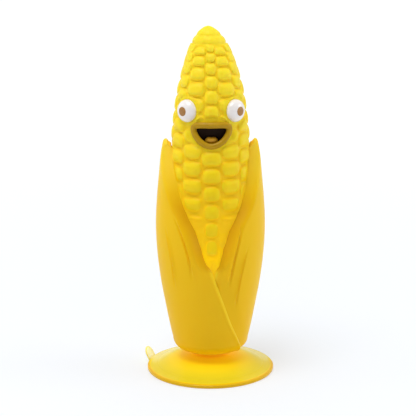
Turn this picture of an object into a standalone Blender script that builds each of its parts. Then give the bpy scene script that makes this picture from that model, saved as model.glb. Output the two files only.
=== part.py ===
"""A soft moulded corn cob toy that stands on a suction cup.

The kernels of the cob show between two husk leaves that wrap round it from the sides.
A plain smiling face is set into the upper kernels: two domed eyes, a lip, a mouth and a tongue.
The cup's neck ends in a mushroom head that locks into a socket in the foot of the cob.

Metres, +Z up. The cup's rim rests on z = 0, and the face looks along -Y.
"""

import math

import bmesh
import bpy
from mathutils import Matrix, Vector

MM = 0.001
GAP = 0.35 * MM  # between pieces that touch

# Levels of the whole toy
TIP_Z = 164.1 * MM
LEAF_TOP_Z = 112.0 * MM
BODY_BOTTOM_Z = 10.0 * MM

# Cob: radius of the grooves between the kernels, as (height, radius) in millimetres
COB_PROFILE = [(12.8, 11.3), (16, 13.3), (30, 15.4), (45, 17.2), (60, 18.0), (80, 18.5), (96, 18.1),
               (108, 17.5), (118, 16.7), (126, 15.7), (134, 14.4), (141, 12.65), (148, 10.6), (153, 9.0),
               (157, 7.3), (160, 5.0), (162, 3.0)]
FOOT_RADIUS = 9.2 * MM  # boss at the foot, round the cup's neck
FOOT_SHOULDER_Z = 12.8 * MM
CORE_RING_HEIGHTS = [38 * MM, 30 * MM, 22 * MM, 16 * MM]  # smooth rings below the kernels
TIP_RINGS = [(7.9, 156.6), (6.75, 158.9), (5.5, 160.6), (3.4, 162.5)]  # rounded cap, as (radius, height)
KERNEL_COLUMNS = 12
# Heights in millimetres of the grooves between the kernels of the front column
ROW_GROOVES = [155.9, 152.3, 147.9, 142.3, 136.1, 129.5, 122.9, 116.1, 109.1, 101.4, 93.3, 85.0, 76.5,
               68.2, 60.0, 51.9, 43.5]
KERNEL_RELIEF = 1.3 * MM
KERNEL_STEPS = [(0.06, 0.0), (0.10, 0.9)]  # (share of width, share of relief), inwards
TIP_LEAN = -1.1 * MM  # the tip bends a little towards -X
LEAN_START_Z = 134.0 * MM

# Husk: outer radius at the sides of the toy, as (height, radius) in millimetres
HUSK_PROFILE = [(13, 17.2), (20, 18.95), (32, 21.35), (45, 23.65), (58, 25.2), (71, 25.8), (84, 25.2),
                (96, 24.1), (105, 23.2), (112, 21.9)]
FLATTEN_BASE, FLATTEN_SLOPE = 0.8 * MM, 0.055  # the husk is this much shallower at front and back
FLATTEN_START_Z = 12.0 * MM
BOTTOM_ROUND = 6.2 * MM  # radius of the husk's bottom edge
BOTTOM_THICKNESS = 2.45 * MM  # both leaves together
CROSS_Z = 53.0 * MM  # the leaves' edges cross here, at the bottom of the V
# Edges of a leaf, as (height, angle from its middle) in millimetres and degrees: the over edge below
# the crossing, and both edges above it
OVER_EDGE = [(2, 173), (10, 156), (15.6, 142), (26, 121.5), (37, 107.5), (45, 98.5), (53, 90.3)]
OPEN_EDGE = [(53, 88), (58, 81.4), (63, 75.5), (68, 70.4), (72, 65.6), (77, 56.8), (82, 47.6),
             (88, 38.8), (93, 32), (98, 25), (102, 18), (106, 12), (109, 8), (112, 3.5)]
V_SKEW = math.radians(2.3)  # each V stands a little towards the leaf whose edge lies under
UNDER_SPREAD = math.radians(600)  # per metre below the crossing, the under edge runs on by this
LAYER = 1.7 * MM  # the upper leaf takes this much where it lies over the other one
LEAF_GAP = 0.55 * MM  # of which this much stays free between the leaves
LEAF_EDGE = 0.95 * MM  # thickness of a leaf at its edge
EDGE_BLEND = 5.0 * MM  # distance over which a leaf reaches its full thickness
LAYER_BLEND = 8.0 * MM
LEAF_COLUMNS, LEAF_WALL_ROWS = 22, 16

# Eyes
EYE_AZIMUTH = math.radians(44)
EYE_Z = 126.3 * MM
EYE_RADIUS = 5.2 * MM
EYE_HALF_DEPTH = 3.7 * MM
EYE_CENTRE = 15.6 * MM  # from the cob's axis
EYE_CLEARING = 4.6 * MM  # no kernel has its middle closer to an eye than this
PUPIL_RADIUS = 2.1 * MM
PUPIL_THICKNESS = 0.9 * MM
PUPIL_RECESS = 0.15 * MM  # from the eye's crown down to the pupil's face

# Mouth: the middle line of the lip is an oval, bent up at its corners
MOUTH_Z = 116.4 * MM
MOUTH_HALF_WIDTH = 8.1 * MM
MOUTH_RISE, MOUTH_DROP = 4.0 * MM, 5.6 * MM
MOUTH_CORNER_LIFT = 2.2 * MM
MOUTH_CLEARING = (10.0 * MM, 7.6 * MM)  # half width and half height of the smooth area round it
LIP_RADIUS = 1.4 * MM
LIP_SURFACE = 17.2 * MM  # the lip lies on a round of this radius
POCKET_BACK_Y = -10.9 * MM
LINING_OVERLAP = 1.1 * MM  # the lining's opening is this much wider than the lip's
LINING_BACK = 0.8 * MM
TONGUE_SIZE = (3.0 * MM, 1.7 * MM, 1.7 * MM)  # half width, half depth, half height
TONGUE_PLACE = (0.0, -14.2 * MM, 113.2 * MM)

# Suction cup, as (radius, height) in millimetres from the shoulder out to the rim and back below
CUP_TOP = [(9.0, 7.1), (14.0, 6.2), (20.0, 4.6), (25.0, 2.8), (27.0, 2.15), (28.6, 1.8), (30.1, 1.65),
           (30.4, 1.35), (30.4, 0.3)]
CUP_UNDER = [(30.0, 0.0), (27.4, 0.0), (24.0, 1.1), (19.0, 2.8), (12.0, 4.7), (0.0, 5.4)]
NECK_RADIUS = 6.6 * MM
SHOULDER_Z = 8.0 * MM  # where the neck meets the skirt
HEAD_RADIUS = 8.6 * MM
HEAD_Z, HEAD_RIM, HEAD_TOP_Z = 13.6 * MM, 1.3 * MM, 19.0 * MM
HEAD_TOP_RADIUS = 4.4 * MM
TAB_AZIMUTH = math.radians(-110)
TAB_ROOT = 29.8 * MM  # from the axis
TAB_ROOT_Z = 0.5 * MM
TAB_WIDTH, TAB_LENGTH, TAB_THICKNESS = 7.6 * MM, 6.9 * MM, 0.8 * MM
TAB_TILT = math.radians(62)  # the tab stands up from the rim

# ---------------------------------------------------------------- shared helpers


def smoothstep(value):
    value = min(1.0, max(0.0, value))
    return value * value * (3 - 2 * value)


def smooth_profile(points_mm):
    """A function that runs smoothly through (height, radius) points: cubic pieces with matched slopes."""
    points = [(z * MM, r * MM) for z, r in points_mm]
    slopes = []
    for i in range(len(points)):
        low, high = points[max(i - 1, 0)], points[min(i + 1, len(points) - 1)]
        slopes.append((high[1] - low[1]) / (high[0] - low[0]))

    def radius_at(z):
        z = min(points[-1][0], max(points[0][0], z))
        i = 0
        while i < len(points) - 2 and z > points[i + 1][0]:
            i += 1
        (z0, r0), (z1, r1) = points[i], points[i + 1]
        span = z1 - z0
        t = (z - z0) / span
        return ((2 * t**3 - 3 * t**2 + 1) * r0 + (t**3 - 2 * t**2 + t) * span * slopes[i]
                + (3 * t**2 - 2 * t**3) * r1 + (t**3 - t**2) * span * slopes[i + 1])

    return radius_at


groove_radius = smooth_profile(COB_PROFILE)
husk_radius = smooth_profile(HUSK_PROFILE)
over_edge = smooth_profile(OVER_EDGE)
open_edge = smooth_profile(OPEN_EDGE)


def around(azimuth, radius, z):
    """A point at an azimuth from the front (-Y), positive towards +X."""
    return Vector((radius * math.sin(azimuth), -radius * math.cos(azimuth), z))


def clear_scene():
    for obj in list(bpy.data.objects):
        bpy.data.objects.remove(obj)


def new_collection(name):
    made = bpy.data.collections.new(name)
    bpy.context.scene.collection.children.link(made)
    return made


def new_material(name, colour, roughness, transmission=0.0):
    made = bpy.data.materials.new(name)
    made.use_nodes = True
    shader = made.node_tree.nodes["Principled BSDF"]
    shader.inputs["Base Color"].default_value = (*colour, 1.0)
    shader.inputs["Roughness"].default_value = roughness
    shader.inputs["Metallic"].default_value = 0.0
    shader.inputs["Transmission Weight"].default_value = transmission
    made.diffuse_color = (*colour, 1.0)
    return made


def new_object(name, bm, home, finish=None):
    """A mesh object from a bmesh, with its faces pointing out and its round parts shaded smooth."""
    bmesh.ops.recalc_face_normals(bm, faces=bm.faces)
    mesh = bpy.data.meshes.new(name)
    bm.to_mesh(mesh)
    bm.free()
    mesh.shade_smooth()
    mesh.set_sharp_from_angle(angle=math.radians(40))
    obj = bpy.data.objects.new(name, mesh)
    home.objects.link(obj)
    if finish:
        mesh.materials.append(finish)
    return obj


def turned(name, profile, steps, home, finish=None):
    """A Screw of (radius, height) points, which run from the top of the axis down the outer side."""
    mesh = bpy.data.meshes.new(name)
    mesh.from_pydata([(radius, 0, z) for radius, z in profile],
                     [(i, i + 1) for i in range(len(profile) - 1)], [])
    obj = bpy.data.objects.new(name, mesh)
    home.objects.link(obj)
    screw = obj.modifiers.new("turn", "SCREW")
    screw.steps = screw.render_steps = steps
    screw.use_merge_vertices = True
    screw.merge_threshold = 0.01 * MM
    if finish:
        mesh.materials.append(finish)
    return obj


def use_boolean(obj, other, operation):
    """Cuts the other object's shape out of this one, or joins it on, and hides the other object."""
    boolean = obj.modifiers.new(other.name, "BOOLEAN")
    boolean.operation = operation
    boolean.object = other
    other.hide_render = True
    other.display_type = "WIRE"


# ---------------------------------------------------------------- where the leaves lie


def leaf_half_width(z, over):
    """The angle from a leaf's middle to its over edge or its under edge at a height."""
    if z >= CROSS_Z:
        skew = V_SKEW * smoothstep((104 * MM - z) / (14 * MM)) \
            * (1 - 0.5 * smoothstep((z - CROSS_Z) / (5 * MM)))
        return math.radians(open_edge(z) / MM) + (skew if over else -skew)
    if over:
        return math.radians(over_edge(z) / MM)
    return math.radians(open_edge(CROSS_Z) / MM) - V_SKEW + UNDER_SPREAD * (CROSS_Z - z)


def is_shown(point):
    """True where no leaf covers the cob, with a margin that lets a kernel run under a leaf's edge."""
    if point.z > LEAF_TOP_Z:
        return True
    from_side = abs(math.radians(90) - abs(math.atan2(point.x, -point.y)))
    return from_side > leaf_half_width(point.z, False) - math.radians(14)


# ---------------------------------------------------------------- cob


def kernel_relief(z):
    """How far the kernels stand out of the grooves: less at the tip, and fading out between the leaves."""
    tip_fade = 0.45 + 0.55 * smoothstep((TIP_Z - z) / (22 * MM))
    foot_fade = smoothstep((z - 56 * MM) / (7 * MM))
    return KERNEL_RELIEF * tip_fade * foot_fade


def cob_radius(z):
    """The cob's outermost radius at a height, kernels included."""
    return groove_radius(z) + kernel_relief(z)


def lean(z):
    return TIP_LEAN * max(0.0, (z - LEAN_START_Z) / (TIP_Z - LEAN_START_Z)) ** 2


def set_radius(vert, radius):
    """Moves a vertex to a radius from the cob's axis, which leans near the tip."""
    shift = lean(vert.co.z)
    flat = Vector((vert.co.x - shift, vert.co.y)).normalized() * radius
    vert.co.x, vert.co.y = flat.x + shift, flat.y


def kernel_ring_heights():
    """Heights of the rings from the tip down. The front column's own rings alternate with the rings
    of the columns beside it, which are shifted by a quarter of a kernel at the tip and by more below."""
    heights = [ROW_GROOVES[0] * MM]
    for top, low in zip(ROW_GROOVES, ROW_GROOVES[1:]):
        shift = 0.64 - 0.38 * smoothstep((top - 128) / 26)
        heights += [(top - shift * (top - low)) * MM, low * MM]
    return heights


def column_edge(column, z):
    """Azimuth between two kernel columns. Those beside the front and back columns are wider."""
    azimuth = math.tau * (column + 0.5) / KERNEL_COLUMNS
    narrowing = math.radians(2.8) * smoothstep((z - 108 * MM) / (18 * MM))
    narrowing += math.radians(0.135) * min(45.0, max(0.0, 105 - z / MM))
    widening = math.radians(2.5) * smoothstep((z - 108 * MM) / (18 * MM))
    shift = {0: -narrowing, 11: narrowing, 6: -narrowing, 5: narrowing,
             1: widening, 10: -widening, 7: widening, 4: -widening}
    return azimuth + shift.get(column % KERNEL_COLUMNS, 0)


def cob_cage():
    """The smooth cob as a tube. Every kernel is one six-sided face, staggered from column to column."""
    kernel_rings = kernel_ring_heights()
    heights = kernel_rings + CORE_RING_HEIGHTS + [FOOT_SHOULDER_Z]
    bm = bmesh.new()
    ring_of = bm.verts.layers.int.new("ring")
    bmesh.ops.create_grid(bm, x_segments=KERNEL_COLUMNS, y_segments=len(heights) - 1, size=1)
    for vert in bm.verts:
        column = round((vert.co.x + 1) / 2 * KERNEL_COLUMNS)
        ring = round((1 - vert.co.y) / 2 * (len(heights) - 1))
        z = heights[ring]
        vert[ring_of] = ring
        vert.co = around(column_edge(column, z), groove_radius(z), z) + Vector((lean(z), 0, 0))
    bmesh.ops.remove_doubles(bm, verts=bm.verts, dist=0.01 * MM)

    spare = []
    for edge in bm.edges:
        ring, other = (vert[ring_of] for vert in edge.verts)
        middle = (edge.verts[0].co + edge.verts[1].co) / 2
        column = round(math.atan2(middle.x, -middle.y) / math.tau * KERNEL_COLUMNS)
        if ring == other and 0 < ring < len(kernel_rings) - 1 and (column + ring) % 2:
            spare.append(edge)
    bmesh.ops.dissolve_edges(bm, edges=spare, use_verts=False, use_face_split=False)
    return bm


def in_face(point):
    """True inside the smooth area round the mouth or an eye, where there are no kernels."""
    half_width, half_height = MOUTH_CLEARING
    if point.y < 0 and Vector((point.x / half_width, (point.z - MOUTH_Z) / half_height)).length < 1:
        return True
    eyes = [around(side * EYE_AZIMUTH, cob_radius(EYE_Z), EYE_Z) for side in (-1, 1)]
    return any((point - eye).length < EYE_CLEARING for eye in eyes)


def raise_kernels(bm):
    """Turns each kernel face into a pillow: a margin for the groove, a sloping wall and a crown."""
    kernels = []
    for face in bm.faces:
        centre = face.calc_center_median()
        if len(face.verts) > 4 and is_shown(centre) and not in_face(centre):
            kernels.append(face)
    for width_share, relief_share in KERNEL_STEPS:
        for face in kernels:
            heights = [vert.co.z for vert in face.verts]
            width = min(max(heights) - min(heights), math.tau * groove_radius(heights[0]) / KERNEL_COLUMNS)
            bmesh.ops.inset_individual(bm, faces=[face], thickness=width_share * width,
                                       use_even_offset=True)
            for vert in face.verts:
                z = vert.co.z
                set_radius(vert, groove_radius(z) + relief_share * kernel_relief(z))
    for vert in bmesh.ops.poke(bm, faces=kernels)["verts"]:
        set_radius(vert, cob_radius(vert.co.z))


def close_ends(bm):
    """Adds the rounded cap at the tip, and the boss at the foot that fills the hole in the husk."""
    bmesh.ops.holes_fill(bm, edges=[edge for edge in bm.edges if edge.is_boundary])
    tip = max(bm.faces, key=lambda face: face.calc_center_median().z)
    foot = min(bm.faces, key=lambda face: face.calc_center_median().z)

    for radius, z in TIP_RINGS:
        bmesh.ops.inset_individual(bm, faces=[tip], thickness=0.3 * MM)
        for vert in tip.verts:
            vert.co.z = z * MM
            set_radius(vert, radius * MM)
    bmesh.ops.poke(bm, faces=[tip])["verts"][0].co.z = TIP_Z

    bmesh.ops.inset_individual(bm, faces=[foot], thickness=3.0 * MM)
    for vert in foot.verts:
        set_radius(vert, FOOT_RADIUS)
    bottom = bmesh.ops.extrude_discrete_faces(bm, faces=[foot])["faces"][0]
    for vert in bottom.verts:
        vert.co.z = BODY_BOTTOM_Z


def build_cob(home, cutters, finish):
    bm = cob_cage()
    raise_kernels(bm)
    close_ends(bm)
    bmesh.ops.triangulate(bm, faces=bm.faces)
    cob = new_object("cob", bm, home, finish)
    use_boolean(cob, socket(cutters), "DIFFERENCE")
    pocket = smile_block("mouth_pocket", LIP_RADIUS + GAP, lambda x: -25 * MM, POCKET_BACK_Y, cutters)
    use_boolean(cob, pocket, "DIFFERENCE")
    for side, name in ((-1, "eye_socket_left"), (1, "eye_socket_right")):
        ball = eye_ball(name, side, EYE_RADIUS + GAP, EYE_HALF_DEPTH + GAP, cutters)
        use_boolean(cob, ball, "DIFFERENCE")


# ---------------------------------------------------------------- husk leaves


def husk_surface(z, turn):
    """The husk's outer radius at a height and an angle from a leaf's middle."""
    flattening = FLATTEN_BASE + FLATTEN_SLOPE * max(0.0, z - FLATTEN_START_Z)
    return husk_radius(z) - flattening * math.sin(turn) ** 2


def leaf_depths(edge_z, turn, z):
    """Depths of a leaf's outer and inner face below the husk's surface, at an angle from its middle."""
    surface = husk_surface(z, turn)
    over, under = leaf_half_width(edge_z, True), leaf_half_width(edge_z, False)

    on_cob = surface - cob_radius(z) - GAP
    into_overlap = (turn - (math.pi - under)) * surface + LAYER_BLEND
    lifted = smoothstep(1.25 * into_overlap / LAYER_BLEND) * (1 - smoothstep((z - CROSS_Z) / LAYER_BLEND))
    inner = on_cob + (LAYER - LEAF_GAP - on_cob) * lifted

    out_of_overlap = (turn - (over - math.pi)) * surface
    tucked = LAYER * (1 - smoothstep(out_of_overlap / LAYER_BLEND))

    to_edge = min(over - turn, turn + under) * surface
    blend = min(EDGE_BLEND, 0.25 * (over + under) * surface)
    thickness = LEAF_EDGE + (inner - tucked - LEAF_EDGE) * smoothstep(to_edge / blend)
    return inner - thickness, inner


def leaf_rows():
    """Rows of a leaf from the hole at the bottom to the tip: ("flat" | "corner" | "wall", value)."""
    rows = [("flat", FOOT_RADIUS + GAP)]
    rows += [("corner", math.radians(angle)) for angle in (0, 30, 60)]
    start = BODY_BOTTOM_Z + BOTTOM_ROUND
    for i in range(LEAF_WALL_ROWS + 1):
        share = 1 - (1 - i / LEAF_WALL_ROWS) ** 1.25
        rows.append(("wall", start + (LEAF_TOP_Z - start) * share))
    return rows


def leaf_point(row, across, inner_face):
    """A point of a leaf as its angle from the leaf's middle, its radius and its height."""
    kind, value = row
    corner_z = BODY_BOTTOM_Z + BOTTOM_ROUND
    z = value if kind == "wall" else corner_z
    # Below the wall the edges go on along the rounded corner
    bent = 0.0 if kind == "wall" else BOTTOM_ROUND * (math.radians(90) - (value if kind == "corner" else 0))
    over, under = leaf_half_width(z - bent, True), leaf_half_width(z - bent, False)
    turn = (over + under) * across - under
    outside, inside = leaf_depths(z - bent, turn, z)
    surface = husk_surface(z, turn)
    if kind == "wall":
        return turn, surface - (inside if inner_face else outside), z

    inside = min(inside, BOTTOM_THICKNESS)
    depth = inside if inner_face else min(outside, inside - LEAF_EDGE)
    if kind == "flat":
        return turn, value, BODY_BOTTOM_Z + depth
    radius = BOTTOM_ROUND - depth
    corner = surface - BOTTOM_ROUND
    return turn, corner + radius * math.sin(value), corner_z - radius * math.cos(value)


def build_leaf(name, middle, home, finish):
    """One husk leaf. It runs from its under edge, which the other leaf covers, to its over edge."""
    rows = leaf_rows()
    bm = bmesh.new()
    bmesh.ops.create_grid(bm, x_segments=LEAF_COLUMNS, y_segments=len(rows) - 1, size=1)
    bmesh.ops.solidify(bm, geom=bm.faces[:], thickness=-1)
    for vert in bm.verts:
        row = rows[round((vert.co.y + 1) / 2 * (len(rows) - 1))]
        turn, radius, z = leaf_point(row, (vert.co.x + 1) / 2, abs(vert.co.z) > 0.5)
        vert.co = around(middle + turn, radius, z)
    new_object(name, bm, home, finish)


# ---------------------------------------------------------------- eyes


def on_eye_axis(side, distance, size=(1, 1, 1)):
    """Places a shape on an eye's axis, its Z pointing out of the cob: -1 is the left eye, 1 the right."""
    turn = Matrix.Rotation(side * EYE_AZIMUTH, 4, "Z") @ Matrix.Rotation(math.radians(90), 4, "X")
    place = Matrix.Translation(around(side * EYE_AZIMUTH, distance, EYE_Z))
    return place @ turn @ Matrix.Diagonal((*size, 1))


def eye_ball(name, side, radius, half_depth, home, finish=None):
    bm = bmesh.new()
    bmesh.ops.create_uvsphere(bm, u_segments=16, v_segments=10, radius=1,
                              matrix=on_eye_axis(side, EYE_CENTRE, (radius, radius, half_depth)))
    return new_object(name, bm, home, finish)


def eye_disc(name, side, radius, near, far, home, finish=None):
    """A short cylinder between two distances from the cob's axis."""
    bm = bmesh.new()
    bmesh.ops.create_cone(bm, cap_ends=True, segments=16, radius1=radius, radius2=radius,
                          depth=far - near, matrix=on_eye_axis(side, (near + far) / 2))
    return new_object(name, bm, home, finish)


def build_eye(name, side, home, cutters, white, brown):
    """A flattened ball with a pupil disc let into its crown."""
    crown = EYE_CENTRE + EYE_HALF_DEPTH
    face = crown - PUPIL_RECESS
    eye = eye_ball("eye_" + name, side, EYE_RADIUS, EYE_HALF_DEPTH, home, white)
    seat = eye_disc("pupil_seat_" + name, side, PUPIL_RADIUS + GAP, face - PUPIL_THICKNESS - GAP,
                    crown + PUPIL_THICKNESS, cutters)
    use_boolean(eye, seat, "DIFFERENCE")
    eye_disc("pupil_" + name, side, PUPIL_RADIUS, face - PUPIL_THICKNESS, face, home, brown)


# ---------------------------------------------------------------- mouth


def smile(grow, count=32):
    """The mouth's outline as (x, z), moved out by a distance from the middle of the lip."""
    line = []
    for i in range(count):
        angle = math.tau * i / count
        height = MOUTH_RISE if math.sin(angle) > 0 else MOUTH_DROP
        lift = MOUTH_CORNER_LIFT * math.cos(angle) ** 2
        line.append(Vector((MOUTH_HALF_WIDTH * math.cos(angle), MOUTH_Z + height * math.sin(angle) + lift)))
    grown = []
    for i, point in enumerate(line):
        along = (line[(i + 1) % count] - line[i - 1]).normalized()
        grown.append(point + grow * Vector((along.y, -along.x)))
    return grown


def lip_depth(x):
    return -math.sqrt(LIP_SURFACE**2 - x**2)


def smile_block(name, grow, front, back, home, finish=None):
    """A solid with the mouth's outline. Its front is a function of x, and its back is flat."""
    bm = bmesh.new()
    outline = [bm.verts.new((p.x, front(p.x), p.y)) for p in smile(grow)]
    face = bm.faces.new(outline)
    rear = bmesh.ops.extrude_face_region(bm, geom=[face])["geom"]
    for vert in [item for item in rear if isinstance(item, bmesh.types.BMVert)]:
        vert.co.y = back
    bmesh.ops.triangulate(bm, faces=[face for face in bm.faces if len(face.verts) > 4])
    return new_object(name, bm, home, finish)


def build_lip(home, finish):
    """A round tube along the smile. It lies on the cob and bends back with it at the corners."""
    curve = bpy.data.curves.new("lip_ring", "CURVE")
    curve.dimensions = "3D"
    curve.bevel_depth = LIP_RADIUS
    curve.bevel_resolution = 2
    outline = smile(0)
    spline = curve.splines.new("POLY")
    spline.points.add(len(outline) - 1)
    spline.use_cyclic_u = True
    for point, place in zip(spline.points, outline):
        point.co = (place.x, lip_depth(place.x), place.y, 1)
    curve.materials.append(finish)
    home.objects.link(bpy.data.objects.new("lip_ring", curve))


def build_mouth(home, cutters, dark, yellow):
    """A dark bowl behind the lip, and a tongue that lies in it."""
    back = POCKET_BACK_Y - GAP
    lining = smile_block("mouth_lining", LIP_RADIUS, lambda x: lip_depth(x) + LIP_RADIUS + GAP, back,
                         home, dark)
    hollow = smile_block("mouth_hollow", LINING_OVERLAP - LIP_RADIUS, lambda x: -25 * MM,
                         back - LINING_BACK, cutters)
    use_boolean(lining, hollow, "DIFFERENCE")

    bm = bmesh.new()
    bmesh.ops.create_uvsphere(bm, u_segments=12, v_segments=8, radius=1,
                              matrix=Matrix.LocRotScale(Vector(TONGUE_PLACE), None, Vector(TONGUE_SIZE)))
    new_object("tongue", bm, home, yellow)


# ---------------------------------------------------------------- suction cup


def socket(cutters):
    """The hollow in the cob's foot for the cup's neck and its mushroom head."""
    profile = [(0, HEAD_TOP_Z + GAP), (HEAD_TOP_RADIUS + GAP, HEAD_TOP_Z + GAP),
               (HEAD_RADIUS + GAP, HEAD_Z + HEAD_RIM + GAP), (HEAD_RADIUS + GAP, HEAD_Z - GAP),
               (NECK_RADIUS + GAP, HEAD_Z - GAP), (NECK_RADIUS + GAP, 0), (0, 0)]
    return turned("socket", profile, 24, cutters)


def pull_tab(cutters):
    """A flat tab with a round end. Its root lies inside the rim."""
    half = TAB_WIDTH / 2
    outline = [(0, -half)]
    for i in range(13):
        angle = math.radians(-90 + 15 * i)
        outline.append((TAB_LENGTH - half + half * math.cos(angle), half * math.sin(angle)))
    outline.append((0, half))
    bm = bmesh.new()
    face = bm.faces.new([bm.verts.new((x, y, -TAB_THICKNESS / 2)) for x, y in outline])
    top = bmesh.ops.extrude_face_region(bm, geom=[face])["geom"]
    for vert in [item for item in top if isinstance(item, bmesh.types.BMVert)]:
        vert.co.z = TAB_THICKNESS / 2
    place = (Matrix.Rotation(TAB_AZIMUTH - math.radians(90), 4, "Z")
             @ Matrix.Translation((TAB_ROOT, 0, TAB_ROOT_Z))
             @ Matrix.Rotation(-TAB_TILT, 4, "Y"))
    bmesh.ops.transform(bm, matrix=place, verts=bm.verts)
    return new_object("pull_tab", bm, cutters)


def build_cup(home, cutters, finish):
    """A thin skirt that is hollow underneath, with a flat rim, a neck, a locking head and a pull tab."""
    profile = [(0, HEAD_TOP_Z), (HEAD_TOP_RADIUS, HEAD_TOP_Z), (HEAD_RADIUS, HEAD_Z + HEAD_RIM),
               (HEAD_RADIUS, HEAD_Z), (NECK_RADIUS, HEAD_Z), (NECK_RADIUS, SHOULDER_Z)]
    profile += [(radius * MM, z * MM) for radius, z in CUP_TOP + CUP_UNDER]
    cup = turned("suction_cup", profile, 44, home, finish)
    use_boolean(cup, pull_tab(cutters), "UNION")


def main():
    clear_scene()
    toy, cutters = new_collection("corn_cob_toy"), new_collection("cutters")
    kernel_yellow = new_material("kernel_yellow", (0.86, 0.62, 0.02), 0.42)
    husk_yellow = new_material("husk_yellow", (0.78, 0.46, 0.01), 0.38)
    eye_white = new_material("eye_white", (0.90, 0.88, 0.86), 0.22)
    pupil_brown = new_material("pupil_brown", (0.32, 0.16, 0.04), 0.35)
    lip_olive = new_material("lip_olive", (0.43, 0.25, 0.01), 0.35)
    mouth_dark = new_material("mouth_dark", (0.030, 0.014, 0.005), 0.5)
    tongue_yellow = new_material("tongue_yellow", (0.72, 0.42, 0.03), 0.4)
    cup_yellow = new_material("cup_clear_yellow", (0.87, 0.62, 0.04), 0.15, transmission=0.6)

    build_cob(toy, cutters, kernel_yellow)
    build_leaf("husk_leaf_left", math.radians(-90), toy, husk_yellow)
    build_leaf("husk_leaf_right", math.radians(90), toy, husk_yellow)
    build_eye("left", -1, toy, cutters, eye_white, pupil_brown)
    build_eye("right", 1, toy, cutters, eye_white, pupil_brown)
    build_lip(toy, lip_olive)
    build_mouth(toy, cutters, mouth_dark, tongue_yellow)
    build_cup(toy, cutters, cup_yellow)


main()
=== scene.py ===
# %% [markdown]
# # A moulded corn cob toy on a suction cup
#
# This lesson dresses a plain solid model of a toy: a corn cob between two husk leaves, with a
# plain smiling face, on a see-through suction cup. The solid model gives every place and size.
# We build the finer shapes round it and give each piece the finish of its real material. The
# units are metres, Z points up, and the face looks along -Y.

# %% Load the frame
from bisect import bisect_left
from functools import partial
from math import atan2, copysign, cos, degrees, exp, hypot, pi, radians, sin, sqrt, tau

import bmesh
import bpy
from mathutils import Matrix, Vector


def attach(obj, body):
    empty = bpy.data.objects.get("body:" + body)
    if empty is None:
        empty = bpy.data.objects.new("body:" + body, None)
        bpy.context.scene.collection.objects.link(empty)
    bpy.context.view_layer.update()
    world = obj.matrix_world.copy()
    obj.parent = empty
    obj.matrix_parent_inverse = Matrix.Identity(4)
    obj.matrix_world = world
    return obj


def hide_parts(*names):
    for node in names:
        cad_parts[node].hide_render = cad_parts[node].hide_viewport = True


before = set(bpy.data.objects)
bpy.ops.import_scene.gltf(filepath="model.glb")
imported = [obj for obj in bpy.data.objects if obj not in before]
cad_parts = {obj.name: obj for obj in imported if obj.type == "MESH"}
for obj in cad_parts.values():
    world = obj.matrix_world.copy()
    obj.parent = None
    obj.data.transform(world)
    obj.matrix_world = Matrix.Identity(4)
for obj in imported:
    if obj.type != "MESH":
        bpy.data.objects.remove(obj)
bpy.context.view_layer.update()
MM = 0.001
print("nodes:", sorted(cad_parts))

# %% [markdown]
# ## Camera
#
# A toy like this looks best through a long lens from a little above it, so that the upright
# sides stay almost parallel and the cup shows as a shallow ellipse. We stand the camera a little
# over half a metre away, a touch to the left, and tip it down by twelve degrees.

# %% Camera
CAMERA_TURN, CAMERA_PITCH = radians(-1.8), radians(12.3)
CAMERA_DISTANCE, CAMERA_HEIGHT = 0.550, 0.198
LENS_MM = 103.3
FRAME_SHIFT = (-0.0058, 0.0031)

camera_data = bpy.data.cameras.new("camera")
camera_data.lens = LENS_MM
camera_data.shift_x, camera_data.shift_y = FRAME_SHIFT
camera = bpy.data.objects.new("camera", camera_data)
camera.location = (CAMERA_DISTANCE * sin(CAMERA_TURN),
                   -CAMERA_DISTANCE * cos(CAMERA_TURN), CAMERA_HEIGHT)
camera.rotation_euler = (radians(90) - CAMERA_PITCH, 0, CAMERA_TURN)
bpy.context.scene.collection.objects.link(camera)
bpy.context.scene.camera = camera
print("camera looks down by", round(degrees(CAMERA_PITCH), 1), "degrees")

# %% [markdown]
# ## Colours, nodes and curves
#
# Paint charts give colours as hex codes, but a shader works with linear light, so one function
# turns a code into linear values. Another adds a node together with its settings and links. A
# node given as an input is linked by its first output that is in use. In a Mix node the inputs 0,
# 6 and 7 are the share and the two colours. The last few functions are soft curves from 0 to 1,
# which blend one shape into the next.

# %% Helpers for colours and nodes


def linear(code):
    """A hex colour such as "f5df3c" as the linear RGBA that shader sockets take."""
    channels = []
    for start in (0, 2, 4):
        value = int(code[start:start + 2], 16) / 255
        channels.append(value / 12.92 if value <= 0.04045 else ((value + 0.055) / 1.055) ** 2.4)
    return (*channels, 1.0)


def set_inputs(node, inputs):
    """Gives each input a plain value, or a link from an output socket or from a node."""
    for name, value in inputs.items():
        if isinstance(value, bpy.types.Node):
            value = next(output for output in value.outputs if output.enabled)
        if isinstance(value, bpy.types.NodeSocket):
            node.id_data.links.new(value, node.inputs[name])
        else:
            node.inputs[name].default_value = value


def add_node(tree, kind, inputs=None, **settings):
    """Adds a shader node with its settings, its values and its links."""
    made = tree.nodes.new("ShaderNode" + kind)
    for name, value in settings.items():
        setattr(made, name, value)
    set_inputs(made, inputs or {})
    return made


def new_material(name):
    """A material, what adds a node to it, its shader, and Object coordinates for patterns."""
    made = bpy.data.materials.new(name)
    made.use_nodes = True
    add = partial(add_node, made.node_tree)
    return made, add, made.node_tree.nodes["Principled BSDF"], add("TexCoord").outputs["Object"]


print("lemon paint is", tuple(round(value, 3) for value in linear("f5df3c")))

# %% Helpers for meshes and soft curves


def new_piece(name, bm, finish, sharp_angle=50):
    """A mesh object out of a bmesh. Its place is in its mesh, and it stands at the origin."""
    mesh = bpy.data.meshes.new(name)
    bm.to_mesh(mesh)
    bm.free()
    mesh.shade_smooth()
    mesh.set_sharp_from_angle(angle=radians(sharp_angle))
    mesh.materials.append(finish)
    piece = bpy.data.objects.new(name, mesh)
    bpy.context.scene.collection.objects.link(piece)
    return piece


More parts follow.
